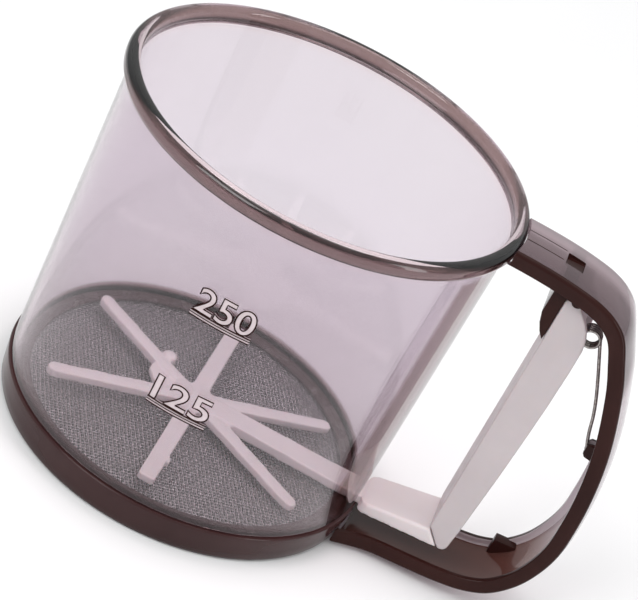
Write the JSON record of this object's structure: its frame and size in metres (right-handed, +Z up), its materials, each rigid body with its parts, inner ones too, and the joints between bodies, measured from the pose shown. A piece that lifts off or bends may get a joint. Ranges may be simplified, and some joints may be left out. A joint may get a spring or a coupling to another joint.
{
  "type": "flour sifter",
  "caption": "Cup-shaped flour sifter in tinted plastic with a one-hand trigger in its handle, a star agitator and a woven steel sieve.",
  "frame": {"origin": "centre of the sifter's bounding box, on the plane it stands on", "axes": "+Z up along the cup's axis, +X from the cup towards the handle, +Y to the left of the handle seen from the cup"},
  "size_m": [0.1528, 0.105, 0.0965],
  "materials": {
    "tinted_plastic": "clear mauve-brown tint, polished",
    "dark_tinted_plastic": "tinted, looks dark where it is thick",
    "woven_steel": "plain-woven wire",
    "pale_plastic": "opaque pale pink-white, satin",
    "pin_steel": "drawn",
    "spring_steel": "bright wire"
  },
  "bodies": {
    "sifter": {"cup_body": "tinted_plastic", "handle": "tinted_plastic", "base_ring": "dark_tinted_plastic", "mesh_retaining_ring": "dark_tinted_plastic", "sieve_mesh": "woven_steel", "trigger_pivot_pin": "pin_steel", "return_spring": "spring_steel"},
    "trigger": {"trigger": "pale_plastic", "hinge_pin": "pin_steel"},
    "agitator": {"agitator": "pale_plastic"}
  },
  "joints": [
    {"name": "trigger_hinge", "type": "hinge", "parent": "sifter", "child": "trigger", "pos_m": [0.04609, 0, 0.0916], "axis": [0, -1, 0], "range_deg": [0, 4.2], "stiffness_Nm_per_rad": 0.5, "springref_deg": -11.46},
    {"name": "agitator_slide", "type": "slide", "parent": "sifter", "child": "agitator", "axis": [1, 0, 0], "range_m": [0, 0.006]}
  ],
  "couplings": [
    {"joint": "agitator_slide", "follows": "trigger_hinge", "m_per_rad": 0.0793}
  ]
}
